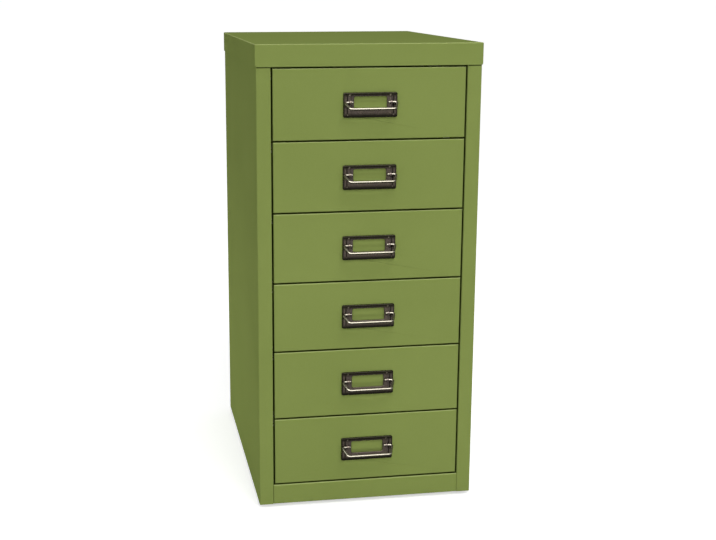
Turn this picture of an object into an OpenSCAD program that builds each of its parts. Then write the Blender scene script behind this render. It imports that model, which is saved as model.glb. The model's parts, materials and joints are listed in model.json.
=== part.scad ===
// Six-drawer sheet-steel desk cabinet with card-frame plates and wire bails on the drawers.
// Millimetres, +Z up, drawers open towards -Y. The origin is on the floor, in the middle of
// the overall box, bails included.

/* [Carcass] */
// Width over the side panels
body_w = 279; // [250:1:320]
// Depth from the front face to the back panel
body_d = 380; // [350:1:420]
// Height from the floor to the top of the cap
total_h = 590; // [550:1:640]
// Thickness of the sheet steel
sheet = 0.8; // [0.7:0.1:1.1]
// Outer radius of the folds that show
fold_r = 1.5; // [1.3:0.1:2]
// Height of the feet under the side panels
foot_h = 5; // [4:0.5:8]
// Radius of each foot
foot_r = 11; // [9:0.5:14]

/* [Cap and front frame] */
// Height of the cap's turned-down flange
cap_flange = 27; // [22:1:32]
// Size of the slanted cut at each lower corner of the flange
flange_cut = 3; // [2:0.5:6]
// Width of the stile at each side of the drawers
stile_w = 18.1; // [16:0.1:20]
// Height of the rail under the lowest drawer
rail_h = 26; // [20:0.5:30]
// Gap round every drawer front
front_gap = 2; // [1.6:0.1:2.5]
// How deep the stiles and the rear returns fold in
return_d = 30; // [26:1:34]

/* [Drawers] */
// Depth of the folded drawer front
front_d = 14; // [12:0.5:14]
// How far each drawer slides out
travel = 280; // [240:5:290]
// Space between a tray and the drawer front's lower edge
tray_lift = 4; // [3:0.5:6]
// Space between a tray's lip and the drawer front's upper edge
tray_drop = 10.3; // [9:0.1:14]

/* [Handles] */
// Width of the card-frame plate
plate_w = 67; // [64:0.5:72]
// Height of the card-frame plate
plate_h = 30.4; // [29:0.2:34]
// How far the plate's middle lies below the middle of the drawer front
plate_low = 1.5; // [0:0.5:3]
// Width of the card window
window_w = 41; // [36:0.5:41]
// Height of the card window
window_h = 15.6; // [13:0.2:16]
// Diameter of the bail's wire
wire_d = 3; // [2.8:0.1:3.2]
// Distance from the bail's pivot to the middle of its bar
bail_reach = 17; // [15:0.5:19]
// How far the bail droops below level where it rests on its stops
bail_droop = 22.5; // [18:0.5:26]

/* [Hidden] */
DRAWERS = [1:6];
PIECES = ["front", "tray", "plate", "bail", "screws", "glides"];

green = [0.21, 0.27, 0.07];
shaded_green = [0.18, 0.23, 0.06];
zinc = [0.62, 0.64, 0.66];
dark_metal = [0.13, 0.11, 0.11];
nylon = [0.86, 0.85, 0.80];
black_rubber = [0.05, 0.05, 0.05];

// Carcass
cap_gap = 0.3;
overhang = sheet + cap_gap;
cap_corner_r = 1.2;
centre_r = fold_r - sheet / 2;
inner_x = body_w / 2 - stile_w;
rail_top = foot_h + rail_h;
front_top = total_h - cap_flange;
side_top = total_h - sheet - (fold_r - sheet);
weld_flange = 12;
seam = 0.15;
pan_d = 12;
base_z = foot_h + sheet;

// Feet: the stem of each is pushed through a hole in the base panel
foot_x = 105;
foot_inset = 60;
foot_stem_r = 3;
stem_clear = 0.05;
stem_head_r = 4.2;
stem_head_h = 1.6;

// Drawer fronts
drawer_count = 6;
pitch = (front_top - rail_top - front_gap) / drawer_count;
front_h = pitch - front_gap;
front_w = 2 * (inner_x - front_gap);
front_fold_r = 1.3;

// Runners: channels welded to the folded returns, with the tray's lips running in them
runner_depth = 6.8;
runner_half = 3.45;
runner_r = 0.9;
runner_start = front_d + 3;
runner_end = body_d - pan_d - 2;

// Trays
tray_wall_x = inner_x - 8.4;
lip_x = inner_x - 2.2;
tray_end = body_d - 20;
back_wall_drop = 6;
liner_edge = 0.4;

// Nylon glides on the trays, and liners in the runners: the glides meet the liners at full travel
glide_half = 2.7;
glide_len = 22;
nylon_cut = 0.8;
slide_gap = 0.3;
stop_gap = 1;
liner_end = tray_end - glide_len - travel - stop_gap;

// Card-frame plates, held from inside the drawer front by two screws in bosses on their backs
plate_out = 2.4;
plate_sheet = 0.8;
plate_corner_r = 2.2;
plate_edge_r = 1.1;
window_r = 2;
window_top = plate_h / 2 - 4.7;
rib_out = 0.9;
rib_margin = 2.2;
screw_x = 27;
screw_drop = 10.2;
screw_r = 1.5;
screw_clear = 0.05;
front_hole_r = 1.7;
boss_r = 2.8;
screw_head_r = 2.8;
screw_head_h = 1.8;
screw_slot_w = 0.8;
screw_slot_d = 0.9;

// Bails: the wire's ends are necked down to turn in straps pressed out of the plate's ribs
wire_r = wire_d / 2;
pivot_up = 3.5;
pivot_out = 4.3;
neck_r = 1.3;
neck_clear = 0.05;
neck_x = 21.8;
shoulder_x = 27;
arm_x = 33;
bar_x = 27.5;
arm_bend_r = 2.5;
bar_bend_r = 4;
strap_x = 23.8;
strap_w = 2.8;
strap_half = 2.6;
stop_x = 29.8;
stop_w = 3;
stop_out = 7;
stop_h = 1.6;
bail_clear = 0.3;
wire_sides = 16;
bend_steps = 5;

// Front plane's place, so that the overall box is centred on the origin
bail_front = pivot_out + bail_reach * cos(bail_droop) + wire_r;
front_y = (bail_front - body_d - overhang) / 2;

// Bottom edge of a drawer front; drawer 1 is the top one
function front_z(n) = rail_top + front_gap + (drawer_count - n) * pitch;
// Middle of the lip that a tray runs on
function lip_z(n) = front_z(n) + front_h - tray_drop - sheet / 2;
// Middle of the card-frame plate
function plate_z(n) = front_z(n) + front_h / 2 - plate_low;

function unit(v) = v / norm(v);
function left_of(v) = [-v[1], v[0]];
function spun(v, a) = [v[0] * cos(a) - v[1] * sin(a), v[0] * sin(a) + v[1] * cos(a)];
function flipped(list) = [for (i = [len(list) - 1 : -1 : 0]) list[i]];

// Points round the bend at p on the way from a to b, moved to the left by shift
function bend(a, p, b, r, shift) =
    let (
        d1 = unit(p - a),
        d2 = unit(b - p),
        side = d1[0] * d2[1] - d1[1] * d2[0] > 0 ? 1 : -1,
        angle = acos(d1 * d2),
        centre = p - d1 * r * tan(angle / 2) + left_of(d1) * side * r,
        spoke = -left_of(d1) * side * (r - side * shift)
    )
    [for (i = [0 : bend_steps]) centre + spun(spoke, side * angle * i / bend_steps)];

// An open path with every inner corner bent to radius r, moved to the left by shift
function bent_path(path, radii, shift = 0) =
    let (last = len(path) - 1)
    concat(
        [path[0] + shift * left_of(unit(path[1] - path[0]))],
        [for (i = [1 : last - 1]) each bend(path[i - 1], path[i], path[i + 1], radii[i - 1], shift)],
        [path[last] + shift * left_of(unit(path[last] - path[last - 1]))]
    );

// A closed outline with corner i rounded to radii[i], or left sharp at 0
function rounded(corners, radii) =
    let (n = len(corners))
    [for (i = [0 : n - 1])
        each (radii[i] > 0
            ? bend(corners[(i + n - 1) % n], corners[i], corners[(i + 1) % n], radii[i], 0)
            : [corners[i]])];

// Rectangle from its lowest to its highest corner; radii start at the lowest one and go anticlockwise
function rectangle(low, high, radii) =
    rounded([low, [high[0], low[1]], high, [low[0], high[1]]], radii);

// Cross-section of folded sheet that follows a path along its middle
module sheet_profile(path, r, thickness = sheet) {
    radii = [for (p = path) r];
    polygon(concat(
        bent_path(path, radii, thickness / 2),
        flipped(bent_path(path, radii, -thickness / 2))
    ));
}

// Extrusions of an outline along one axis; the outline's own axes are the other two, in X, Y, Z order
module along_x(x0, x1) {
    translate([x0, 0, 0]) rotate([90, 0, 90]) linear_extrude(x1 - x0) children();
}

module along_y(y0, y1) {
    translate([0, y1, 0]) rotate([90, 0, 0]) linear_extrude(y1 - y0) children();
}

module along_z(z0, z1) {
    translate([0, 0, z0]) linear_extrude(z1 - z0) children();
}

module box(low, high) {
    translate(low) cube(high - low);
}

module both_sides() {
    children();
    mirror([1, 0, 0]) children();
}

// Everything is drawn from the front plane and put in place by this
module in_place() {
    translate([0, front_y, 0]) children();
}

// Closed block with rounded top edges and rounded upright corners
module lid_block(low, high, top_r, corner_r) {
    intersection() {
        along_y(low[1], high[1])
            polygon(rectangle([low[0], low[2]], [high[0], high[2]], [0, 0, top_r, top_r]));
        along_x(low[0], high[0])
            polygon(rectangle([low[1], low[2]], [high[1], high[2]], [0, 0, top_r, top_r]));
        along_z(low[2], high[2])
            polygon(rectangle([low[0], low[1]], [high[0], high[1]], [for (i = [1 : 4]) corner_r]));
    }
}

// Closed block with rounded edges round its front face, which looks along -Y
module front_block(low, high, r) {
    intersection() {
        along_z(low[2], high[2])
            polygon(rectangle([low[0], low[1]], [high[0], high[1]], [r, r, 0, 0]));
        along_x(low[0], high[0])
            polygon(rectangle([low[1], low[2]], [high[1], high[2]], [r, 0, 0, r]));
    }
}

// Sheet pan with its face towards -Y and its edges folded back to depth d
module pan(width, d, z0, z1, r) {
    half = width / 2;
    difference() {
        front_block([-half, 0, z0], [half, d, z1], r);
        front_block(
            [-half + sheet, sheet, z0 + sheet],
            [half - sheet, d + 1, z1 - sheet],
            r - sheet
        );
    }
}

module top_cap() {
    half = body_w / 2 + overhang;
    color(green) in_place() difference() {
        lid_block(
            [-half, -overhang, front_top],
            [half, body_d + overhang, total_h],
            fold_r, cap_corner_r
        );
        lid_block(
            [-half + sheet, -cap_gap, front_top - 1],
            [half - sheet, body_d + cap_gap, total_h - sheet],
            fold_r - sheet, cap_corner_r - sheet
        );
        flange_cuts();
    }
}

// What is cut off the lower corners of the cap's flange
module flange_cuts() {
    reach = flange_cut / sqrt(2);
    for (x = [-1, 1])
        for (y = [-1, 1])
            translate([x * (body_w / 2 + overhang), body_d / 2 + y * (body_d / 2 + overhang), front_top])
                rotate([0, 0, atan2(y, x)]) along_y(-2 * flange_cut, 2 * flange_cut)
                    polygon([[1, -1], [1, flange_cut], [0, flange_cut], [-reach, 0], [-reach, -1]]);
}

// Right-hand side: stile, side and rear return folded from one sheet, with a weld flange on top
module side_panel() {
    near = inner_x + sheet / 2;
    far = body_w / 2 - sheet / 2;
    front = sheet / 2;
    rear = body_d - sheet / 2;
    along_z(foot_h, side_top)
        sheet_profile([
            [near, return_d],
            [near, front],
            [far, front],
            [far, rear],
            [near, rear],
            [near, body_d - return_d]
        ], centre_r);
    box(
        [body_w / 2 - sheet - weld_flange, return_d + 2, total_h - 2 * sheet],
        [body_w / 2 - sheet / 2, body_d - return_d - 2, total_h - sheet]
    );
}

module right_side_panel() {
    color(green) in_place() side_panel();
}

module left_side_panel() {
    color(green) in_place() mirror([1, 0, 0]) side_panel();
}

module back_panel() {
    color(shaded_green) in_place() translate([0, body_d, 0]) mirror([0, 1, 0])
        pan(2 * (inner_x - seam), pan_d, foot_h, total_h - sheet - 1, fold_r);
}

module bottom_rail() {
    half = inner_x - seam;
    color(green) in_place() along_x(-half, half)
        sheet_profile([
            [front_d, foot_h + sheet / 2],
            [sheet / 2, foot_h + sheet / 2],
            [sheet / 2, rail_top - sheet / 2],
            [front_d, rail_top - sheet / 2]
        ], centre_r);
}

// Floor sheet: full width between the returns, narrower where it laps over the rail and the back
module base_panel() {
    wide = body_w / 2 - sheet - seam;
    narrow = inner_x - sheet - 2 * seam;
    y0 = fold_r + seam;
    y1 = return_d + 1;
    y2 = body_d - y1;
    y3 = body_d - y0;
    color(shaded_green) in_place() difference() {
        union() {
            along_z(base_z, base_z + sheet)
                polygon([
                    [-narrow, y0], [narrow, y0], [narrow, y1], [wide, y1],
                    [wide, y2], [narrow, y2], [narrow, y3], [-narrow, y3],
                    [-narrow, y2], [-wide, y2], [-wide, y1], [-narrow, y1]
                ]);
            both_sides()
                box([wide - sheet, y1, base_z], [wide, y2, base_z + weld_flange]);
        }
        at_feet() cylinder(r = foot_stem_r + stem_clear, h = base_z + weld_flange, $fn = 32);
    }
}

module at_feet() {
    for (x = [-foot_x, foot_x])
        for (y = [foot_inset, body_d - foot_inset])
            translate([x, y, 0]) children();
}

module feet() {
    top = base_z + sheet;
    color(black_rubber) in_place() at_feet()
        rotate_extrude($fn = 48)
            polygon([
                [0, 0], [foot_r - 0.8, 0], [foot_r, 0.8], [foot_r, base_z], [foot_stem_r, base_z],
                [foot_stem_r, top], [stem_head_r, top], [foot_stem_r, top + stem_head_h],
                [0, top + stem_head_h]
            ]);
}

// Right-hand runner of drawer n
module runner(n) {
    web = inner_x - sheet / 2;
    lip = inner_x - runner_depth;
    along_y(runner_start, runner_end)
        sheet_profile([
            [lip, lip_z(n) + runner_half],
            [web, lip_z(n) + runner_half],
            [web, lip_z(n) - runner_half],
            [lip, lip_z(n) - runner_half]
        ], runner_r);
}

module right_runner(n) {
    color(zinc) in_place() runner(n);
}

module left_runner(n) {
    color(zinc) in_place() mirror([1, 0, 0]) runner(n);
}

// C-shaped nylon section round a tray's lip, at the right-hand side
module nylon_profile(n, low_x, high_x, half, slot_x, slot_half) {
    polygon([for (p = [
        [low_x, half], [low_x, slot_half], [slot_x, slot_half], [slot_x, -slot_half],
        [low_x, -slot_half], [low_x, -half], [high_x - nylon_cut, -half], [high_x, nylon_cut - half],
        [high_x, half - nylon_cut], [high_x - nylon_cut, half]
    ]) p + [0, lip_z(n)]]);
}

module runner_liners() {
    inside = runner_half - sheet / 2;
    web = inner_x - sheet;
    color(nylon) in_place() for (n = DRAWERS) both_sides()
        along_y(runner_start, liner_end)
            nylon_profile(
                n, inner_x - runner_depth, web - 0.05, inside - 0.05,
                lip_x + slide_gap, sheet / 2 + slide_gap
            );
}

module drawer_front(n) {
    color(green) in_place() difference() {
        pan(front_w, front_d, front_z(n), front_z(n) + front_h, front_fold_r);
        at_screws(n) translate([0, 0, -1])
            cylinder(r = front_hole_r, h = sheet + 2, $fn = 32);
    }
}

// Sheet tray with outward lips, its back wall and the wall that lines the drawer front
module drawer_tray(n) {
    wall = tray_wall_x - sheet / 2;
    top = lip_z(n);
    bottom = front_z(n) + tray_lift + sheet / 2;
    liner_x = front_w / 2 - liner_edge;
    color(green) in_place() {
        along_y(front_d + sheet / 2, tray_end)
            sheet_profile([
                [-lip_x, top], [-wall, top], [-wall, bottom],
                [wall, bottom], [wall, top], [lip_x, top]
            ], centre_r);
        box(
            [-liner_x, front_d, front_z(n) + liner_edge],
            [liner_x, front_d + sheet, front_z(n) + front_h - liner_edge]
        );
        box(
            [-wall, tray_end - sheet, bottom],
            [wall, tray_end, top - back_wall_drop]
        );
    }
}

module drawer_glides(n) {
    color(nylon) in_place() both_sides()
        along_y(tray_end - glide_len, tray_end)
            nylon_profile(
                n, tray_wall_x + fold_r, inner_x - sheet - slide_gap, glide_half,
                lip_x + 0.05, sheet / 2 + 0.05
            );
}

// Puts children on the plate's two screw axes, with +Z from the plate into the drawer
module at_screws(n) {
    for (x = [-screw_x, screw_x])
        translate([x, 0, plate_z(n) - screw_drop]) rotate([-90, 0, 0]) children();
}

// Puts children on the bail's pivot
module at_pivot(n) {
    translate([0, -pivot_out, plate_z(n) + pivot_up]) children();
}

// Upright rib with the strap that the bail's neck turns in, drawn about the pivot
module rib_and_strap() {
    root = pivot_out - plate_out + plate_sheet / 2;
    rib_face = pivot_out - plate_out - rib_out;
    rib_low = -plate_h / 2 - pivot_up + rib_margin;
    rib_high = plate_h / 2 - pivot_up - rib_margin;
    difference() {
        along_x(strap_x, strap_x + strap_w) {
            polygon(rectangle([-strap_half, -strap_half], [root, strap_half], [2, 0, 0, 2]));
            polygon(rectangle([rib_face, rib_low], [root, rib_high], [rib_out, 0, 0, rib_out]));
        }
        translate([strap_x - 1, 0, 0]) rotate([0, 90, 0])
            cylinder(r = neck_r + neck_clear, h = strap_w + 2, $fn = 32);
    }
}

// Stop under the bail's arm, its top parallel to the drooping arm, drawn about the pivot
module bail_stop() {
    root = pivot_out - plate_out + plate_sheet / 2;
    reach = stop_out - pivot_out;
    fall = (wire_r + bail_clear) / cos(bail_droop);
    slope = tan(bail_droop);
    along_x(stop_x, stop_x + stop_w)
        polygon([
            [root, root * slope - fall],
            [-reach, -reach * slope - fall],
            [-reach, -reach * slope - fall - stop_h],
            [root, -reach * slope - fall - stop_h - 1.5]
        ]);
}

// Pressed plate with a card window, ribs, straps, stops and screw bosses
module drawer_plate(n) {
    half = plate_w / 2;
    low = plate_z(n) - plate_h / 2;
    high = plate_z(n) + plate_h / 2;
    sill = plate_z(n) + window_top - window_h;
    color(dark_metal) in_place() {
        difference() {
            intersection() {
                front_block([-half, -plate_out, low], [half, 0, high], plate_edge_r);
                along_y(-plate_out, 0)
                    polygon(rectangle([-half, low], [half, high], [for (i = [1 : 4]) plate_corner_r]));
            }
            box(
                [-half + plate_sheet, -plate_out + plate_sheet, low + plate_sheet],
                [half - plate_sheet, 1, high - plate_sheet]
            );
            along_y(-plate_out - 1, 1)
                polygon(rectangle(
                    [-window_w / 2, sill], [window_w / 2, sill + window_h],
                    [for (i = [1 : 4]) window_r]
                ));
        }
        at_pivot(n) both_sides() {
            rib_and_strap();
            bail_stop();
        }
        at_screws(n) difference() {
            translate([0, 0, -plate_out + plate_sheet / 2])
                cylinder(r = boss_r, h = plate_out - plate_sheet / 2, $fn = 32);
            translate([0, 0, -plate_out + plate_sheet])
                cylinder(r = screw_r + screw_clear, h = plate_out, $fn = 32);
        }
    }
}

// Slotted screws, each with its head inside the drawer front
module drawer_screws(n) {
    color(zinc) in_place() at_screws(n) difference() {
        union() {
            translate([0, 0, -plate_out + plate_sheet + 0.1])
                cylinder(r = screw_r, h = plate_out - plate_sheet + sheet, $fn = 32);
            translate([0, 0, sheet]) cylinder(r = screw_head_r, h = screw_head_h, $fn = 32);
        }
        translate([-screw_head_r - 1, -screw_slot_w / 2, sheet + screw_head_h - screw_slot_d])
            cube([2 * screw_head_r + 2, screw_slot_w, screw_slot_d + 1]);
    }
}

// The wire's middle line in the bail's own plane: x across, y away from the pivot
function bail_path() = bent_path(
    [[-shoulder_x, 0], [-arm_x, 0], [-bar_x, bail_reach], [bar_x, bail_reach], [arm_x, 0], [shoulder_x, 0]],
    [arm_bend_r, bar_bend_r, bar_bend_r, arm_bend_r]
);

// Round wire of radius r along a flat path
module wire(path, r) {
    last = len(path) - 1;
    rings = [for (i = [0 : last])
        let (
            ahead = unit(path[min(i + 1, last)] - path[max(i - 1, 0)]),
            out = left_of(ahead)
        )
        for (k = [0 : wire_sides - 1])
            let (a = 360 * (k + 0.5) / wire_sides)
            [path[i][0] + r * cos(a) * out[0], path[i][1] + r * cos(a) * out[1], r * sin(a)]];
    sides = [for (i = [0 : last - 1]) for (k = [0 : wire_sides - 1])
        let (
            a = i * wire_sides + k,
            b = i * wire_sides + (k + 1) % wire_sides
        )
        each [[a, b + wire_sides, b], [a, a + wire_sides, b + wire_sides]]];
    first_end = [for (k = [0 : wire_sides - 1]) k];
    last_end = [for (k = [wire_sides - 1 : -1 : 0]) last * wire_sides + k];
    polyhedron(points = rings, faces = concat(sides, [first_end, last_end]));
}

module drawer_bail(n) {
    color(dark_metal) in_place() at_pivot(n) {
        rotate([180 + bail_droop, 0, 0]) wire(bail_path(), wire_r);
        both_sides() translate([neck_x, 0, 0]) rotate([0, 90, 0])
            cylinder(r = neck_r, h = shoulder_x - neck_x + 1, $fn = 32);
    }
}

top_cap();
left_side_panel();
right_side_panel();
back_panel();
base_panel();
bottom_rail();
feet();
runner_liners();
for (n = DRAWERS) {
    left_runner(n);
    right_runner(n);
    drawer_front(n);
    drawer_tray(n);
    drawer_plate(n);
    drawer_bail(n);
    drawer_screws(n);
    drawer_glides(n);
}
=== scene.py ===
"""Looks of the six-drawer steel cabinet: paint, plated handle plates, wire bails, camera, light.

Named lengths ending in _MM are millimetres and all other named lengths metres. The handles are
drawn in millimetres and scaled when their meshes are made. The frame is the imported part's own:
+Z up, the drawers open towards -Y, and the origin is on the floor under the middle.
"""
import json
import math

import bmesh
import bpy
from mathutils import Matrix, Vector


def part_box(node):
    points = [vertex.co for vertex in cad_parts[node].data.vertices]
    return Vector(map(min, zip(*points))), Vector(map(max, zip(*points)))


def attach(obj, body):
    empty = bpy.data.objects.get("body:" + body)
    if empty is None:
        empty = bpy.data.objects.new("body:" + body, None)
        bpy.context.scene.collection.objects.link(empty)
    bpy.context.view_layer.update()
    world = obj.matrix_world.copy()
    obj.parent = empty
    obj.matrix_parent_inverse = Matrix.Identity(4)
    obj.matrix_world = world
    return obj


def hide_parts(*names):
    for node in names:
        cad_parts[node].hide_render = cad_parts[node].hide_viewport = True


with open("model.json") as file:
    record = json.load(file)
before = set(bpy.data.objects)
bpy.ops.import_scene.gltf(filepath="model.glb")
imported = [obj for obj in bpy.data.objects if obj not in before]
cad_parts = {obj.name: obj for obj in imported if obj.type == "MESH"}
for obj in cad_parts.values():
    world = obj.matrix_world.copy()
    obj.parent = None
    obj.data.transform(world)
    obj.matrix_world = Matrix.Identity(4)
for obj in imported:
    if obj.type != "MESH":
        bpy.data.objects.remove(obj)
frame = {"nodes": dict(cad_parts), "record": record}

MM = 0.001
DRAWERS = range(1, 7)
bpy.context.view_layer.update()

# Card-frame plate, drawn about its own middle: x across, z up, depth out of the drawer front
PLATE_OUT_MM = 2.4
PLATE_SHEET_MM = 0.8
PLATE_CORNER_MM = 2.2
PLATE_EDGE_MM = 1.1
WINDOW_W_MM = 41
WINDOW_H_MM = 15.6
WINDOW_TOP_MM = 10.5
WINDOW_CORNER_MM = 2
WINDOW_EDGE_MM = 0.45
CORNER_BLEND_MM = 2.4
RIB_X_MM = 25.2
RIB_HALF_W_MM = 1.4
RIB_HALF_H_MM = 13
RIB_OUT_MM = 0.9
RIB_FLANK_MM = 0.5
GROOVE_X_MM = 28.6
GROOVE_HALF_W_MM = 0.9
GROOVE_HALF_H_MM = 12
GROOVE_DEPTH_MM = 0.45
GROOVE_FLANK_MM = 0.6

# The plate's grid lines: fine at its rim, the window's lip and the bores, coarser between them.
# A run across is how far out from the middle it goes, and how far apart its lines are
ACROSS_RUNS_MM = ((18, 4.5), (21.2, 0.4), (24, 0.45), (27.4, 0.3), (31.4, 0.4))
SIDE_STEP_MM = 0.45
RIM_BAND_MM = 1.2
RIM_STEP_MM = 0.2
END_BAND_MM = 3.6
LIP_BAND_MM = 0.5
LIP_STEP_MM = 0.17
LIP_CLEAR_MM = 0.15
WINDOW_BAND_MM = 2.4
BORE_BAND_MM = 1.6
BORE_STEP_MM = 0.32
FINE_STEP_MM = 0.4
COARSE_STEP_MM = 1.1
SAME_MM = 1e-6

# Straps, stops and screw bosses on the plate
STRAP_HALF_MM = 2.6
STRAP_ROOT_MM = 1.4
STRAP_WIDTH_MM = 2.8
STRAP_ROUND_MM = 0.35
STRAP_BORE_ROUND_MM = 0.12
STRAP_STEPS = 40
BORE_R_MM = 1.35
STOP_X_MM = (29.8, 32.8)
STOP_OUT_MM = 7
STOP_THICK_MM = 1.6
STOP_GAP_MM = 0.3
STOP_ROOT_MM = 1.5
STOP_ROUND_MM = 0.3
STOP_ROUND_STEPS = 3
SCREW_X_MM = 27
SCREW_DROP_MM = 10.2
BOSS_R_MM = 2.8
BOSS_BORE_R_MM = 1.55
BOSS_SUNK_MM = 0.3
BOSS_STEPS = 28

# Bail, its pivot measured from the plate's middle and the drawer front. The dome of a neck's end
# is how far along it a ring lies in millimetres, and the ring's share of the neck's radius
PIVOT_UP_MM = 3.5
PIVOT_OUT_MM = 4.3
WIRE_R_MM = 1.5
NECK_R_MM = 1.3
NECK_X_MM = 21.8
NECK_DOME = ((0, 0.35), (0.08, 0.7), (0.3, 0.93), (0.6, 1))
SHOULDER_X_MM = 27
SHOULDER_TAPER_MM = 0.35
ARM_X_MM = 33
BAR_X_MM = 27.5
REACH_MM = 17
ARM_BEND_MM = 2.5
BAR_BEND_MM = 4
BEND_STEPS = 10
WIRE_SIDES = 28
DROOP = math.radians(22.5)


# ---------------------------------------------------------------- node helpers

# A Mix node's sockets for two colours and for what it makes of them
MIX_FIRST, MIX_SECOND, MIX_RESULT = 6, 7, 2
# The middle range that most of a noise lies in
NOISE_LOW, NOISE_HIGH = 0.3, 0.7


def is_socket(value):
    return isinstance(value, bpy.types.NodeSocket)


def feed(tree, node, inputs):
    """Sets a node's inputs to numbers, or links them from other sockets."""
    for key, value in inputs.items():
        if is_socket(value):
            tree.links.new(value, node.inputs[key])
        else:
            node.inputs[key].default_value = value


def add_node(tree, kind, inputs=None, **settings):
    """A node with its settings and inputs."""
    made = tree.nodes.new(kind)
    for name, value in settings.items():
        setattr(made, name, value)
    feed(tree, made, inputs or {})
    return made


def blank_material(name):
    """A material with only a Principled shader, its node tree, and that shader."""
    material = bpy.data.materials.new(name)
    material.use_nodes = True
    tree = material.node_tree
    tree.nodes.clear()
    shader = add_node(tree, "ShaderNodeBsdfPrincipled")
    add_node(tree, "ShaderNodeOutputMaterial", {"Surface": shader.outputs["BSDF"]})
    return material, tree, shader


def object_place(tree, scale=(1, 1, 1)):
    """The object's own coordinates in metres, scaled along each axis."""
    place = add_node(tree, "ShaderNodeTexCoord").outputs["Object"]
    return add_node(tree, "ShaderNodeMapping", {"Vector": place, "Scale": scale}).outputs["Vector"]


def noise(tree, place, size, detail=2.0, roughness=0.5, distortion=0.0):
    """Noise whose lumps are about this size in metres."""
    made = add_node(tree, "ShaderNodeTexNoise", {
        "Vector": place, "Scale": 1 / size, "Detail": detail,
        "Roughness": roughness, "Distortion": distortion,
    })
    return made.outputs["Fac"]


def spread(tree, value, low, high, from_low=NOISE_LOW, from_high=NOISE_HIGH):
    """The value, mapped so that it runs from low to high."""
    made = add_node(tree, "ShaderNodeMapRange", {
        "Value": value, "From Min": from_low, "From Max": from_high, "To Min": low, "To Max": high,
    })
    return made.outputs["Result"]


def between(tree, factor, first, second):
    """A colour between two colours."""
    first, second = (c if is_socket(c) else (*c, 1) for c in (first, second))
    inputs = {"Factor": factor, MIX_FIRST: first, MIX_SECOND: second}
    made = add_node(tree, "ShaderNodeMix", inputs, data_type="RGBA", clamp_factor=True)
    return made.outputs[MIX_RESULT]


def toned(tree, factor, tones):
    """A colour that a noise moves between two tones."""
    return between(tree, spread(tree, factor, 0, 1), *tones)


def bumps(tree, *layers):
    """Bump layers one on the other, each a height from 0 to 1 and its depth in metres."""
    normal = None
    for height, depth in layers:
        inputs = {"Height": height, "Distance": depth, "Strength": 1.0}
        if normal:
            inputs["Normal"] = normal
        normal = add_node(tree, "ShaderNodeBump", inputs).outputs["Normal"]
    return normal


def calculate(tree, operation, *values):
    """The result of a maths node."""
    made = add_node(tree, "ShaderNodeMath", dict(enumerate(values)), operation=operation)
    return made.outputs[0]


def least(tree, *values):
    """The least of some values."""
    result = values[0]
    for value in values[1:]:
        result = calculate(tree, "MINIMUM", result, value)
    return result


def from_rim(tree, coordinate, half):
    """How far a place lies inside a rim that is this far out on both sides."""
    return calculate(tree, "SUBTRACT", half, calculate(tree, "ABSOLUTE", coordinate))


def within(tree, coordinate, low, high, soft):
    """1 between two places along an axis, with a soft stretch inside each end."""
    rise = spread(tree, coordinate, 0, 1, low, low + soft)
    fall = spread(tree, coordinate, 1, 0, high - soft, high)
    return least(tree, rise, fall)


def split(tree, vector):
    """A vector's parts along X, Y and Z."""
    return add_node(tree, "ShaderNodeSeparateXYZ", {0: vector}).outputs


def facing(tree):
    """The object's own normal, split into its axes."""
    return split(tree, add_node(tree, "ShaderNodeTexCoord").outputs["Normal"])


# ---------------------------------------------------------------- green paint

PAINT_TONES = ((0.196, 0.247, 0.065), (0.210, 0.263, 0.071))
PAINT_SPECK = (0.250, 0.305, 0.104)
# A painted highlight on the folds that look upwards
PAINT_FOLD_HIGHLIGHT = (0.430, 0.505, 0.190)
# Painted shade in the gaps round the drawer fronts
PAINT_GAP_SHADE = (0.085, 0.106, 0.030)
# A painted shadow line under the cap's flange
PAINT_CAP_SHADOW = (0.046, 0.058, 0.018)
PAINT_ROUGHNESS = (0.50, 0.60)
SPECK_SHARE = 0.12
SPECK_SIZE = 0.0016
DRIFT_SIZE = 0.16
SMEAR_SIZE = 0.05
SMEAR_SCALE = (1, 1, 0.35)
WAVE_SIZE = 0.22
WAVE_DEPTH = 0.00008
PEEL_SIZE = 0.0024
PEEL_DEPTH = 0.00003

# Folds that get a painted highlight are found by how far the normal leaves the nearest axis, and
# how far up it looks
FOLD_TILT = (0.03, 0.22)
FOLD_UP = (0.05, 0.3)

# Places of the painted shade in the gaps and of the painted shadow line under the cap
FRONT_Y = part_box("bottom_rail")[0].y
CAP_EDGE_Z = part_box("top_cap")[0].z
RAIL_SIDE_GAP = 0.0004
OPENING_HALF_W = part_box("bottom_rail")[1].x + RAIL_SIDE_GAP
RAIL_TOP_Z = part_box("bottom_rail")[1].z
GAP_FROM = 0.0011
GAP_TO = 0.0142
GAP_SOFT = 0.0012
CAP_SHADOW_H = 0.0014
SHADE_SOFT = 0.0003


def fold_highlight_mask(tree):
    """Where a highlight is painted: 1 on folds that look upwards, 0 on the sheet's flat faces,
    which all face along an axis.
    """
    axes = facing(tree)
    off_axis = least(tree, *(from_rim(tree, axes[name], 1) for name in "XYZ"))
    tilted = spread(tree, off_axis, 0, 1, *FOLD_TILT)
    return least(tree, tilted, spread(tree, axes["Z"], 0, 1, *FOLD_UP))


def gap_shade_mask(tree):
    """Painted shade: 1 on the turned-in edges in the cabinet's mouth, which the gaps round the
    fronts show.

    It goes by places in the room, so that a drawer's edges are plain once it is pulled out.
    """
    axes = split(tree, add_node(tree, "ShaderNodeNewGeometry").outputs["Position"])
    depth = within(tree, axes["Y"], FRONT_Y + GAP_FROM, FRONT_Y + GAP_TO, GAP_SOFT)
    in_opening = spread(tree, from_rim(tree, axes["X"], OPENING_HALF_W), 0, 1, 0, SHADE_SOFT)
    height = within(tree, axes["Z"], RAIL_TOP_Z - 2 * SHADE_SOFT, CAP_EDGE_Z, SHADE_SOFT)
    return least(tree, depth, in_opening, height)


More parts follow.
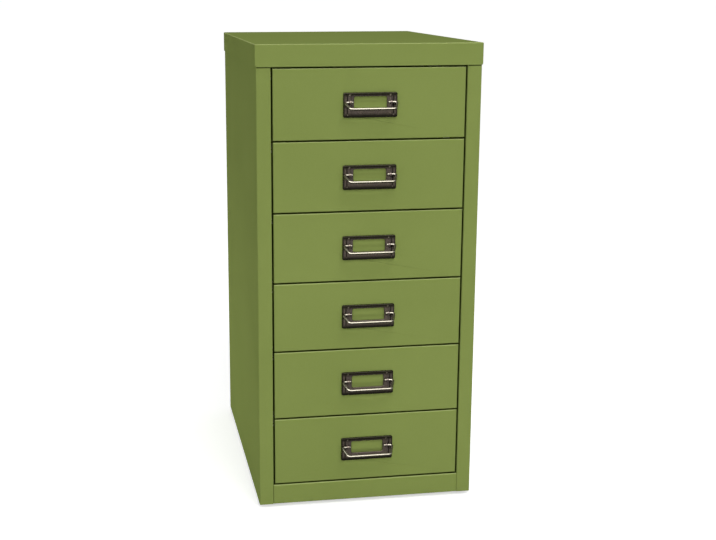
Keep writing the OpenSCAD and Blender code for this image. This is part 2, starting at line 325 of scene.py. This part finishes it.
def cap_shadow_mask(tree):
    """Where a shadow line is painted: 1 on the stiles in a narrow band right under the cap's
    flange.
    """
    axes = split(tree, object_place(tree))
    band = within(tree, axes["Z"], CAP_EDGE_Z - CAP_SHADOW_H, CAP_EDGE_Z + SHADE_SOFT, SHADE_SOFT)
    front = spread(tree, axes["Y"], 1, 0, FRONT_Y, FRONT_Y + SHADE_SOFT)
    return least(tree, band, front)


def green_paint(name, paints_gap_shade):
    """Satin powder coat on sheet steel: orange peel, drifting tone, a painted highlight on upward
    folds, and where wanted painted shade in the gaps and a painted shadow line under the cap.
    """
    material, tree, shader = blank_material(name)
    place = object_place(tree)
    specks = noise(tree, place, SPECK_SIZE, roughness=0.6)
    smear = noise(tree, object_place(tree, SMEAR_SCALE), SMEAR_SIZE, detail=4, distortion=0.6)
    colour = toned(tree, noise(tree, place, DRIFT_SIZE, detail=3), PAINT_TONES)
    colour = between(tree, spread(tree, specks, 0, SPECK_SHARE), colour, PAINT_SPECK)
    # Painted highlight on the folds that look upwards
    colour = between(tree, fold_highlight_mask(tree), colour, PAINT_FOLD_HIGHLIGHT)
    if paints_gap_shade:
        # Painted shade in the gaps round the fronts
        colour = between(tree, gap_shade_mask(tree), colour, PAINT_GAP_SHADE)
        # Painted shadow line under the cap's flange
        colour = between(tree, cap_shadow_mask(tree), colour, PAINT_CAP_SHADOW)
    wave = noise(tree, place, WAVE_SIZE, detail=1)
    peel = noise(tree, place, PEEL_SIZE)
    feed(tree, shader, {
        "Base Color": colour,
        "Roughness": spread(tree, smear, *PAINT_ROUGHNESS),
        "Specular IOR Level": 0,
        "Normal": bumps(tree, (wave, WAVE_DEPTH), (peel, PEEL_DEPTH)),
    })
    return material


# ---------------------------------------------------------------- dark nickel

PLATE_TONES = ((0.063, 0.051, 0.038), (0.057, 0.046, 0.042))
PLATE_ROUGHNESS = (0.20, 0.31)
# The wire's nickel is a lighter copy of the plate's, which brings up its highlights: in part a
# painted highlight
WIRE_TONES = ((0.143, 0.133, 0.103), (0.130, 0.120, 0.100))
WIRE_ROUGHNESS = (0.24, 0.34)
# Painted shade: the near-black of the plate's rim and recesses and of the wire's underside
SHADE_BLACK = (0.010, 0.009, 0.006)
TINT_SIZE = 0.009
SMUDGE_SIZE = 0.006
LINES_SIZE = 0.00025
LINES_SCALE = (0.12, 1, 1)
LINES_DEPTH = 0.000003

# Where the plate turns from painted shade to nickel: in from its sides, in from its ends, and out
# in Y
plate_low, plate_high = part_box("drawer_1_plate")
PLATE_HALF_W = (plate_high.x - plate_low.x) / 2
PLATE_HALF_H = (plate_high.z - plate_low.z) / 2
NICKEL_FROM_SIDE = (0.0005, 0.0028)
NICKEL_FROM_END = (0.0025, 0.0062)
NICKEL_Y = (-0.00205, -0.0024)

# The stretch of the normal's Z over which the wire turns from painted shade underneath to its
# nickel
UNDERSIDE_SHADE_Z = (-0.25, 0.05)


def black_nickel(name, tones, roughness):
    """Dark nickel plating with polishing lines and smudges, and its colour, still to be fed in."""
    material, tree, shader = blank_material(name)
    place = object_place(tree)
    smudge = noise(tree, place, SMUDGE_SIZE, detail=4)
    lines = noise(tree, object_place(tree, LINES_SCALE), LINES_SIZE, detail=3)
    feed(tree, shader, {
        "Metallic": 1,
        "Roughness": spread(tree, smudge, *roughness),
        "Normal": bumps(tree, (lines, LINES_DEPTH)),
    })
    return material, tree, shader, toned(tree, noise(tree, place, TINT_SIZE), tones)


def plate_nickel():
    """The nickel of a card-frame plate, with shade painted black towards its rim and in its
    recesses.
    """
    material, tree, shader, nickel = black_nickel(
        "dark_nickel_plate", PLATE_TONES, PLATE_ROUGHNESS
    )
    axes = split(tree, object_place(tree))
    sides = spread(tree, from_rim(tree, axes["X"], PLATE_HALF_W), 0, 1, *NICKEL_FROM_SIDE)
    ends = spread(tree, from_rim(tree, axes["Z"], PLATE_HALF_H), 0, 1, *NICKEL_FROM_END)
    raised = spread(tree, axes["Y"], 0, 1, *NICKEL_Y)
    # Painted shade: black towards the rim and in the recesses
    colour = between(tree, least(tree, sides, ends, raised), SHADE_BLACK, nickel)
    feed(tree, shader, {"Base Color": colour})
    return material


def wire_nickel():
    """The nickel of a bail's wire, with shade painted black on its underside."""
    material, tree, shader, nickel = black_nickel("dark_nickel_wire", WIRE_TONES, WIRE_ROUGHNESS)
    # Painted shade on the wire's underside
    unshaded = spread(tree, facing(tree)["Z"], 0, 1, *UNDERSIDE_SHADE_Z)
    feed(tree, shader, {"Base Color": between(tree, unshaded, SHADE_BLACK, nickel)})
    return material


# ---------------------------------------------------------------- zinc, nylon and rubber

ZINC_TONES = ((0.55, 0.57, 0.60), (0.66, 0.66, 0.64))
ZINC_ROUGHNESS = (0.26, 0.42)
ZINC_TINT_SIZE = 0.012
SPANGLE = (0.42, 0.45, 0.50)
SPANGLE_SHARE = 0.25
SPANGLES_PER_METRE = 260
DRAWN_SIZE = 0.0006
DRAWN_SCALE = (1, 0.05, 1)
DRAWN_DEPTH = 0.000006

NYLON_TONES = ((0.72, 0.70, 0.63), (0.80, 0.79, 0.74))
NYLON_ROUGHNESS = (0.38, 0.52)
NYLON_CLOUD_SIZE = 0.008
NYLON_GRAIN_SIZE = 0.0008
NYLON_GRAIN_DEPTH = 0.00001
NYLON_SUBSURFACE = 0.25
NYLON_RADIUS = (0.002, 0.002, 0.0016)

RUBBER_TONES = ((0.020, 0.020, 0.021), (0.045, 0.044, 0.042))
RUBBER_ROUGHNESS = (0.62, 0.82)
RUBBER_BLOOM_SIZE = 0.007
RUBBER_GRAIN_SIZE = 0.0007
RUBBER_GRAIN_DEPTH = 0.00003


def zinc_plate():
    """Bright zinc plate with a faint spangle and blue-white tints."""
    material, tree, shader = blank_material("bright_zinc_plate")
    place = object_place(tree)
    cells = {"Vector": place, "Scale": SPANGLES_PER_METRE}
    spangle = add_node(tree, "ShaderNodeTexVoronoi", cells)
    from_middle = spread(tree, spangle.outputs["Distance"], 0, SPANGLE_SHARE, 0, 1)
    tint = noise(tree, place, ZINC_TINT_SIZE, detail=3)
    drawn = noise(tree, object_place(tree, DRAWN_SCALE), DRAWN_SIZE)
    feed(tree, shader, {
        "Base Color": between(tree, from_middle, toned(tree, tint, ZINC_TONES), SPANGLE),
        "Metallic": 1,
        "Roughness": spread(tree, tint, *ZINC_ROUGHNESS),
        "Normal": bumps(tree, (drawn, DRAWN_DEPTH)),
    })
    return material


def nylon():
    """Natural nylon, milky and slightly waxy."""
    material, tree, shader = blank_material("natural_nylon")
    place = object_place(tree)
    cloud = noise(tree, place, NYLON_CLOUD_SIZE, detail=3)
    grain = noise(tree, place, NYLON_GRAIN_SIZE)
    feed(tree, shader, {
        "Base Color": toned(tree, cloud, NYLON_TONES),
        "Roughness": spread(tree, cloud, *NYLON_ROUGHNESS),
        "Subsurface Weight": NYLON_SUBSURFACE,
        "Subsurface Radius": NYLON_RADIUS,
        "Subsurface Scale": 1,
        "Normal": bumps(tree, (grain, NYLON_GRAIN_DEPTH)),
    })
    return material


def foot_rubber():
    """Black moulded rubber with a dusty bloom."""
    material, tree, shader = blank_material("black_rubber")
    place = object_place(tree)
    bloom = noise(tree, place, RUBBER_BLOOM_SIZE, detail=4)
    grain = noise(tree, place, RUBBER_GRAIN_SIZE, detail=3)
    feed(tree, shader, {
        "Base Color": toned(tree, bloom, RUBBER_TONES),
        "Roughness": spread(tree, bloom, *RUBBER_ROUGHNESS),
        "Normal": bumps(tree, (grain, RUBBER_GRAIN_DEPTH)),
    })
    return material


MATERIALS = {
    "green_paint": green_paint("green_powder_coat", True),
    "black_nickel": plate_nickel(),
    "zinc_plate": zinc_plate(),
    "nylon": nylon(),
    "foot_rubber": foot_rubber(),
}
WIRE_NICKEL = wire_nickel()
TRAY_PAINT = green_paint("green_tray_coat", False)


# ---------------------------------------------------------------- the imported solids

WELD = 1e-6
ROUNDED_EDGE_MM = {
    "green_paint": 0.22,
    "zinc_plate": 0.12,
    "nylon": 0.2,
    "foot_rubber": 0.3,
}
ROUNDED_EDGE_STEPS = 2
SHARP_FROM = math.radians(34)
LARGE_FACES_FIRST = 100


def soften_edges(piece, radius):
    """Rounds the solid's sharp edges a little and shades the rest smooth."""
    piece.data.shade_smooth()
    weld = piece.modifiers.new("weld", "WELD")
    weld.merge_threshold = WELD
    bevel = piece.modifiers.new("rounded_edges", "BEVEL")
    bevel.width = radius
    bevel.segments = ROUNDED_EDGE_STEPS
    bevel.limit_method = "ANGLE"
    bevel.angle_limit = SHARP_FROM
    normals = piece.modifiers.new("even_normals", "WEIGHTED_NORMAL")
    normals.keep_sharp = False
    normals.weight = LARGE_FACES_FIRST


def finish_solids():
    """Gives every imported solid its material, and soft edges where its slot has them."""
    for part in frame["record"]["subparts"]:
        piece = frame["nodes"][part["node"]]
        slot = part["material_slot"]
        piece.data.materials.clear()
        in_tray = part["node"].endswith("_tray")
        piece.data.materials.append(TRAY_PAINT if in_tray else MATERIALS[slot])
        if slot in ROUNDED_EDGE_MM:
            soften_edges(piece, ROUNDED_EDGE_MM[slot] * MM)


# ---------------------------------------------------------------- mesh helpers

def mesh_object(name, mesh):
    """A new piece of the scene, made from the mesh it is given."""
    piece = bpy.data.objects.new(name, mesh)
    bpy.context.scene.collection.objects.link(piece)
    return piece


def finished_mesh(bm, name, material):
    """The bmesh as a mesh in metres with a material, outward normals and smooth faces."""
    bmesh.ops.scale(bm, vec=(MM, MM, MM), verts=bm.verts)
    bmesh.ops.recalc_face_normals(bm, faces=bm.faces)
    for face in bm.faces:
        face.smooth = True
    mesh = bpy.data.meshes.new(name)
    bm.to_mesh(mesh)
    bm.free()
    mesh.materials.append(material)
    return mesh


def graded(start, *runs):
    """Grid lines from a start on: each run is its end and about how far apart its lines are."""
    lines = [start]
    for end, step in runs:
        start = lines[-1]
        count = max(1, round((end - start) / step))
        lines += [start + (end - start) * i / count for i in range(1, count)] + [end]
    return lines


def skin(bm, rings, closed_way=False):
    """Faces between neighbouring rings of vertices."""
    pairs = list(zip(rings, rings[1:]))
    if closed_way:
        pairs.append((rings[-1], rings[0]))
    for near, far in pairs:
        count = len(near)
        for i in range(count):
            j = (i + 1) % count
            bm.faces.new((near[i], near[j], far[j], far[i]))


def smoothstep(t):
    """From 0 to 1 with a soft start and end."""
    t = min(1, max(0, t))
    return t * t * (3 - 2 * t)


def rounded_box_distance(x, z, half_w, half_h, corner):
    """How far a point lies outside a rounded rectangle about the origin, negative inside."""
    qx, qz = abs(x) - half_w + corner, abs(z) - half_h + corner
    return math.hypot(max(qx, 0), max(qz, 0)) + min(max(qx, qz), 0) - corner


# ---------------------------------------------------------------- card-frame plate

HALF_W_MM = PLATE_HALF_W / MM
HALF_H_MM = PLATE_HALF_H / MM
WINDOW_MID_MM = WINDOW_TOP_MM - WINDOW_H_MM / 2


def round_corner(x, z, half_w, half_h, corner, blend=None):
    """Moves a point of a square grid so that the rectangle's corner becomes an arc."""
    qx, qz = abs(x) - half_w + corner, abs(z) - half_h + corner
    if qx <= 0 or qz <= 0:
        return x, z
    reach = max(qx, qz)
    share = 1 if blend is None else 1 - smoothstep((reach - corner) / blend)
    scale = 1 + share * (reach / math.hypot(qx, qz) - 1)
    return (
        math.copysign(half_w - corner + qx * scale, x),
        math.copysign(half_h - corner + qz * scale, z),
    )


def plate_point(x, z):
    """A grid point of the plate, moved so that plate and window have round corners."""
    x, z = round_corner(x, z, HALF_W_MM, HALF_H_MM, PLATE_CORNER_MM)
    x, mid_z = round_corner(
        x, z - WINDOW_MID_MM, WINDOW_W_MM / 2, WINDOW_H_MM / 2, WINDOW_CORNER_MM, CORNER_BLEND_MM
    )
    return x, mid_z + WINDOW_MID_MM


def rolled(distance, radius):
    """How far a rounded edge falls away at this distance from its rim."""
    if distance >= radius:
        return 0
    return radius - math.sqrt(radius**2 - (radius - max(distance, 0)) ** 2)


def plate_depth(x, z):
    """How far the pressed plate stands out of the drawer front at a point."""
    rim = -rounded_box_distance(x, z, HALF_W_MM, HALF_H_MM, PLATE_CORNER_MM)
    lip = rounded_box_distance(
        x, z - WINDOW_MID_MM, WINDOW_W_MM / 2, WINDOW_H_MM / 2, WINDOW_CORNER_MM
    )
    rib = -rounded_box_distance(
        abs(x) - RIB_X_MM, z, RIB_HALF_W_MM, RIB_HALF_H_MM, RIB_HALF_W_MM
    )
    groove = -rounded_box_distance(
        abs(x) - GROOVE_X_MM, z, GROOVE_HALF_W_MM, GROOVE_HALF_H_MM, GROOVE_HALF_W_MM
    )
    depth = PLATE_OUT_MM - rolled(rim, PLATE_EDGE_MM) - rolled(lip, WINDOW_EDGE_MM)
    depth += RIB_OUT_MM * smoothstep((rib + RIB_FLANK_MM / 2) / (2 * RIB_FLANK_MM))
    depth -= GROOVE_DEPTH_MM * smoothstep((groove + GROOVE_FLANK_MM / 2) / (2 * GROOVE_FLANK_MM))
    off_pivot = z - PIVOT_UP_MM
    if abs(off_pivot) < BORE_R_MM:
        depth = min(depth, PIVOT_OUT_MM - math.sqrt(BORE_R_MM**2 - off_pivot**2))
    return depth


def add_sheet(bm):
    """The pressed sheet: front, turned edge, flat back, and the window through it."""
    window_x = WINDOW_W_MM / 2
    sill = WINDOW_TOP_MM - WINDOW_H_MM
    half_lines = graded(
        0, *ACROSS_RUNS_MM, (HALF_W_MM - RIM_BAND_MM, SIDE_STEP_MM), (HALF_W_MM, RIM_STEP_MM)
    )
    clear = {round(v, 4) for v in half_lines if abs(v - window_x) > LIP_CLEAR_MM}
    half_lines = sorted(clear | {window_x})
    xs = [-v for v in reversed(half_lines[1:])] + half_lines
    zs = graded(
        -HALF_H_MM,
        (RIM_BAND_MM - HALF_H_MM, RIM_STEP_MM),
        (END_BAND_MM - HALF_H_MM, FINE_STEP_MM),
        (sill - LIP_BAND_MM, COARSE_STEP_MM),
        (sill, LIP_STEP_MM),
        (sill + WINDOW_BAND_MM, FINE_STEP_MM),
        (PIVOT_UP_MM - BORE_BAND_MM, COARSE_STEP_MM),
        (PIVOT_UP_MM + BORE_BAND_MM, BORE_STEP_MM),
        (WINDOW_TOP_MM - WINDOW_BAND_MM, COARSE_STEP_MM),
        (WINDOW_TOP_MM, FINE_STEP_MM),
        (WINDOW_TOP_MM + LIP_BAND_MM, LIP_STEP_MM),
        (HALF_H_MM - RIM_BAND_MM, FINE_STEP_MM),
        (HALF_H_MM, RIM_STEP_MM),
    )

    def in_window(x, z):
        return abs(x) < window_x - SAME_MM and sill + SAME_MM < z < WINDOW_TOP_MM - SAME_MM

    grid = {}
    for i, x in enumerate(xs):
        for j, z in enumerate(zs):
            if not in_window(x, z):
                px, pz = plate_point(x, z)
                grid[i, j] = bm.verts.new((px, -plate_depth(px, pz), pz))
    for i in range(len(xs) - 1):
        for j in range(len(zs) - 1):
            corners = [(i, j), (i + 1, j), (i + 1, j + 1), (i, j + 1)]
            mid = (xs[i] + xs[i + 1]) / 2, (zs[j] + zs[j + 1]) / 2
            if not in_window(*mid):
                bm.faces.new([grid[c] for c in corners])

    def ring_round(left, right, low, high):
        """The grid's vertices along the sides of a rectangle."""
        return (
            [grid[i, low] for i in range(left, right)]
            + [grid[right, j] for j in range(low, high)]
            + [grid[i, high] for i in range(right, left, -1)]
            + [grid[left, j] for j in range(high, low, -1)]
        )

    outline = ring_round(0, len(xs) - 1, 0, len(zs) - 1)
    foot = ring_at(bm, outline, 0)
    inner_foot = ring_at(bm, outline, 0, PLATE_SHEET_MM)
    back = ring_at(bm, outline, PLATE_OUT_MM - PLATE_SHEET_MM, PLATE_SHEET_MM)
    skin(bm, [outline, foot, inner_foot, back])

    low = min(range(len(zs)), key=lambda j: abs(zs[j] - sill))
    high = min(range(len(zs)), key=lambda j: abs(zs[j] - WINDOW_TOP_MM))
    window = ring_round(xs.index(-window_x), xs.index(window_x), low, high)
    window_back = ring_at(bm, window, PLATE_OUT_MM - PLATE_SHEET_MM)
    skin(bm, [window, window_back])
    edges = [
        bm.edges.get(pair)
        for ring in (back, window_back)
        for pair in zip(ring, ring[1:] + ring[:1])
    ]
    bmesh.ops.triangle_fill(bm, edges=edges, use_beauty=True)


def ring_at(bm, ring, depth, inset=0):
    """A copy of an outline at another depth, moved inwards from the plate's rim."""
    made = []
    for v in ring:
        x, z = v.co.x, v.co.z
        if inset:
            corner = PLATE_CORNER_MM
            arc_x = math.copysign(max(0, abs(x) - HALF_W_MM + corner), x)
            arc_z = math.copysign(max(0, abs(z) - HALF_H_MM + corner), z)
            reach = math.hypot(arc_x, arc_z)
            x -= inset * arc_x / reach
            z -= inset * arc_z / reach
        made.append(bm.verts.new((x, -depth, z)))
    return made


# How far the middle of a quarter arc lies from the sides of its square, as a share of its radius
MID_ARC = 0.3
TINY = 1e-9


def add_strap(bm, side):
    """The strap that a bail's neck turns in: an arch with rounded rims round a bore."""
    half, r, bore_r = STRAP_WIDTH_MM / 2, STRAP_ROUND_MM, STRAP_BORE_ROUND_MM
    mid = MID_ARC * r
    section = [
        (-half, True, r), (-half + mid, True, mid), (-half + r, True, 0),
        (half - r, True, 0), (half - mid, True, mid), (half, True, r),
        (half, False, -bore_r), (half - bore_r, False, 0),
        (-half + bore_r, False, 0), (-half, False, -bore_r),
    ]
    rings = []
    for k in range(STRAP_STEPS):
        a = 2 * math.pi * k / STRAP_STEPS
        out, up = math.cos(a), math.sin(a)
        if out > 0:
            outer = STRAP_HALF_MM
        else:
            to_side = STRAP_HALF_MM / max(abs(up), TINY)
            to_root = STRAP_ROOT_MM / max(abs(out), TINY)
            outer = min(to_side, to_root)
        ring = []
        for x, is_outer, inset in section:
            radius = (outer if is_outer else BORE_R_MM) - inset
            ring.append(bm.verts.new((
                side * RIB_X_MM + x,
                -PIVOT_OUT_MM - radius * out,
                PIVOT_UP_MM + radius * up,
            )))
        rings.append(ring)
    skin(bm, rings, closed_way=True)


def add_stop(bm, side):
    """The wedge that a bail's arm rests on."""
    root = PIVOT_OUT_MM - PLATE_OUT_MM + PLATE_SHEET_MM / 2
    reach = STOP_OUT_MM - PIVOT_OUT_MM
    fall = (WIRE_R_MM + STOP_GAP_MM) / math.cos(DROOP)
    slope = math.tan(DROOP)
    outline = [
        (root, root * slope - fall), (-reach, -reach * slope - fall),
        (-reach, -reach * slope - fall - STOP_THICK_MM),
        (root, -reach * slope - fall - STOP_THICK_MM - STOP_ROOT_MM),
    ]
    ends = [
        [bm.verts.new((side * x, y - PIVOT_OUT_MM, PIVOT_UP_MM + z)) for y, z in outline]
        for x in STOP_X_MM
    ]
    made = [bm.faces.new(ends[0]), bm.faces.new(reversed(ends[1]))]
    for i in range(len(outline)):
        j = (i + 1) % len(outline)
        made.append(bm.faces.new((ends[0][i], ends[0][j], ends[1][j], ends[1][i])))
    edges = list(dict.fromkeys(e for f in made for e in f.edges))
    bmesh.ops.bevel(
        bm, geom=edges, offset=STOP_ROUND_MM, segments=STOP_ROUND_STEPS,
        affect="EDGES", profile=0.5, clamp_overlap=True,
    )


def add_boss(bm, side):
    """The tapped boss on the plate's back that a screw is driven into."""
    top = PLATE_OUT_MM - PLATE_SHEET_MM + BOSS_SUNK_MM
    section = [(BOSS_R_MM, 0), (BOSS_R_MM, top), (BOSS_BORE_R_MM, top), (BOSS_BORE_R_MM, 0)]
    rings = []
    for k in range(BOSS_STEPS):
        a = 2 * math.pi * k / BOSS_STEPS
        rings.append([
            bm.verts.new((
                side * SCREW_X_MM + radius * math.cos(a), -depth,
                radius * math.sin(a) - SCREW_DROP_MM,
            ))
            for radius, depth in section
        ])
    skin(bm, rings, closed_way=True)


def plate_mesh():
    """The pressed plate with its straps, stops and bosses, drawn about its own middle."""
    bm = bmesh.new()
    add_sheet(bm)
    for side in (-1, 1):
        add_strap(bm, side)
        add_stop(bm, side)
        add_boss(bm, side)
    return finished_mesh(bm, "card_frame_plate", MATERIALS["black_nickel"])


# ---------------------------------------------------------------- wire bail

def bend(before, corner, after, radius):
    """Points along an arc of this radius that rounds a corner of a flat path."""
    way_in = (corner - before).normalized()
    way_out = (after - corner).normalized()
    angle = way_in.angle(way_out)
    turn = 1 if way_in.cross(way_out) > 0 else -1
    left = Vector((-way_in.y, way_in.x))
    centre = corner - way_in * radius * math.tan(angle / 2) + left * turn * radius
    spoke = -left * turn * radius
    return [
        centre + Matrix.Rotation(turn * angle * i / BEND_STEPS, 2) @ spoke
        for i in range(BEND_STEPS + 1)
    ]


def bail_line():
    """The wire's middle line and radius: across, and away from the pivot."""
    corners = [Vector(p) for p in (
        (-SHOULDER_X_MM, 0), (-ARM_X_MM, 0), (-BAR_X_MM, REACH_MM),
        (BAR_X_MM, REACH_MM), (ARM_X_MM, 0), (SHOULDER_X_MM, 0),
    )]
    radii = (ARM_BEND_MM, BAR_BEND_MM, BAR_BEND_MM, ARM_BEND_MM)
    line = []
    for before, corner, after, radius in zip(corners, corners[1:], corners[2:], radii):
        line += [(p, WIRE_R_MM) for p in bend(before, corner, after, radius)]
    neck = [(NECK_X_MM + along, NECK_R_MM * share) for along, share in NECK_DOME]
    neck.append((SHOULDER_X_MM - SHOULDER_TAPER_MM, NECK_R_MM))
    neck.append((SHOULDER_X_MM + SHOULDER_TAPER_MM, WIRE_R_MM))
    start = [(Vector((-x, 0)), radius) for x, radius in neck]
    end = [(Vector((x, 0)), radius) for x, radius in reversed(neck)]
    return start + line + end


def bail_mesh():
    """The bent wire, drawn about its pivot at rest on the stops."""
    bm = bmesh.new()
    line = bail_line()
    away = Vector((0, -math.cos(DROOP), -math.sin(DROOP)))
    across = Vector((1, 0, 0))
    off_plane = across.cross(away)
    rings = []
    for i, (place, radius) in enumerate(line):
        ahead = (line[min(i + 1, len(line) - 1)][0] - line[max(i - 1, 0)][0]).normalized()
        side = across * -ahead.y + away * ahead.x
        middle = across * place.x + away * place.y
        rings.append([
            bm.verts.new(middle + radius * (math.cos(a) * side + math.sin(a) * off_plane))
            for a in (2 * math.pi * k / WIRE_SIDES for k in range(WIRE_SIDES))
        ])
    skin(bm, rings)
    bm.faces.new(reversed(rings[0]))
    bm.faces.new(rings[-1])
    return finished_mesh(bm, "wire_bail", WIRE_NICKEL)


def make_handles():
    """A plate and a bail on every drawer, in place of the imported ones."""
    plate, bail = plate_mesh(), bail_mesh()
    for n in DRAWERS:
        low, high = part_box(f"drawer_{n}_plate")
        middle = Vector((0, high.y, (low.z + high.z) / 2))
        frame_plate = mesh_object(f"card_frame_{n}", plate)
        frame_plate.location = middle
        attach(frame_plate, f"drawer_{n}")
        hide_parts(f"drawer_{n}_plate")
        wire = mesh_object(f"wire_bail_{n}", bail)
        wire.location = middle + Vector((0, -PIVOT_OUT_MM, PIVOT_UP_MM)) * MM
        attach(wire, f"bail_{n}")
        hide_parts(f"drawer_{n}_bail")


# ---------------------------------------------------------------- camera, light and floor

IMAGE_W = 716
CAMERA_PLACE = Vector((-0.3126, -1.6163, 0.6578))
CAMERA_YAW = math.radians(9.33)
CAMERA_PITCH = math.radians(-12.78)
CAMERA_ROLL = math.radians(0.04)
FOCAL_PX = 1206.7
SHIFT_PX = (50, -11)
SENSOR_MM = 36
CLIP = (0.05, 100)

FLOOR_HALF_W = 60
FLOOR_TONES = ((0.80, 0.80, 0.80), (0.84, 0.84, 0.84))
FLOOR_CLOUD_SIZE = 0.4
FLOOR_ROUGHNESS = 0.9
WHITE = (1, 1, 1, 1)

# How bright floor and world are to camera, mirror and glass rays, and how much light the world
# gives all other rays
FLOOR_SEEN = 0.6
WORLD_SEEN = 1.0
WORLD_LIGHT = 0.5

# Each lamp's name, place, aim, size and watts, and whether it lights matt surfaces. The others
# only show in glossy ones
CABINET_MIDDLE = (0, 0, 0.3)
LAMPS = (
    ("key_light", (0.55, -2.6, 3.6), CABINET_MIDDLE, (2.0, 1.45), 72, True),
    ("front_fill", (0.1, -1.4, 0.06), (0, 0, 0.05), (1.2, 0.12), 3.5, True),
    ("side_fill", (-0.6, 0.15, 0.03), (-0.14, 0.15, 0), (0.5, 0.06), 0.62, True),
    ("top_gloss", (0, -1.4, 1.9), CABINET_MIDDLE, (2.4, 2.9), 222, False),
    ("side_gloss", (-1.6, -0.7, 1.4), CABINET_MIDDLE, (2.0, 1.8), 150, False),
)


def make_camera():
    """The photo's camera, with the lens shift in pixels of the photo."""
    data = bpy.data.cameras.new("camera")
    data.sensor_width = SENSOR_MM
    data.lens = FOCAL_PX / IMAGE_W * SENSOR_MM
    data.shift_x, data.shift_y = (px / IMAGE_W for px in SHIFT_PX)
    data.clip_start, data.clip_end = CLIP
    camera = bpy.data.objects.new("camera", data)
    yaw = Matrix.Rotation(-CAMERA_YAW, 4, "Z")
    pitch = Matrix.Rotation(math.pi / 2 + CAMERA_PITCH, 4, "X")
    roll = Matrix.Rotation(-CAMERA_ROLL, 4, "Z")
    camera.matrix_world = Matrix.Translation(CAMERA_PLACE) @ (yaw @ pitch) @ roll
    bpy.context.scene.collection.objects.link(camera)
    bpy.context.scene.camera = camera


def area_light(name, place, aim, size, watts, lights_matt):
    """A soft rectangular lamp, which lights matt surfaces or only shows in glossy ones."""
    data = bpy.data.lights.new(name, "AREA")
    data.shape = "RECTANGLE"
    data.size, data.size_y = size
    data.energy = watts
    light = bpy.data.objects.new(name, data)
    light.location = place
    light.rotation_euler = (Vector(aim) - Vector(place)).to_track_quat("-Z", "Y").to_euler()
    light.visible_diffuse = lights_matt
    light.visible_glossy = not lights_matt
    light.visible_camera = False
    bpy.context.scene.collection.objects.link(light)


def seen_white(tree, strength):
    """A factor that is this strength for camera, mirror and glass rays, and 0 for the others."""
    path = add_node(tree, "ShaderNodeLightPath")
    seen = path.outputs["Is Camera Ray"]
    for other in ("Is Glossy Ray", "Is Transmission Ray"):
        seen = calculate(tree, "MAXIMUM", seen, path.outputs[other])
    return calculate(tree, "MULTIPLY", seen, strength)


def make_floor():
    """A wide pale floor, which looks about white and keeps the cabinet's shadow."""
    corners = ((-1, -1), (1, -1), (1, 1), (-1, 1))
    mesh = bpy.data.meshes.new("floor")
    places = [(x * FLOOR_HALF_W, y * FLOOR_HALF_W, 0) for x, y in corners]
    mesh.from_pydata(places, [], [(0, 1, 2, 3)])
    floor = bpy.data.objects.new("floor", mesh)
    bpy.context.scene.collection.objects.link(floor)
    material, tree, shader = blank_material("pale_floor")
    cloud = noise(tree, object_place(tree), FLOOR_CLOUD_SIZE)
    feed(tree, shader, {
        "Base Color": between(tree, cloud, *FLOOR_TONES),
        "Roughness": FLOOR_ROUGHNESS,
        "Specular IOR Level": 0,
        "Emission Color": WHITE,
        "Emission Strength": seen_white(tree, FLOOR_SEEN),
    })
    mesh.materials.append(material)


def make_world():
    """A plain grey light all round, which looks white."""
    world = bpy.data.worlds.new("studio")
    world.use_nodes = True
    tree = world.node_tree
    tree.nodes.clear()
    light, white = (
        add_node(tree, "ShaderNodeBackground", {"Color": WHITE, "Strength": strength}).outputs[0]
        for strength in (WORLD_LIGHT, WORLD_SEEN)
    )
    mixed = add_node(tree, "ShaderNodeMixShader", {0: seen_white(tree, 1), 1: light, 2: white})
    add_node(tree, "ShaderNodeOutputWorld", {"Surface": mixed.outputs[0]})
    bpy.context.scene.world = world


finish_solids()
make_handles()
make_camera()
make_floor()
make_world()
for lamp in LAMPS:
    area_light(*lamp)
bpy.context.scene.view_settings.view_transform = "Standard"

bpy.context.view_layer.update()
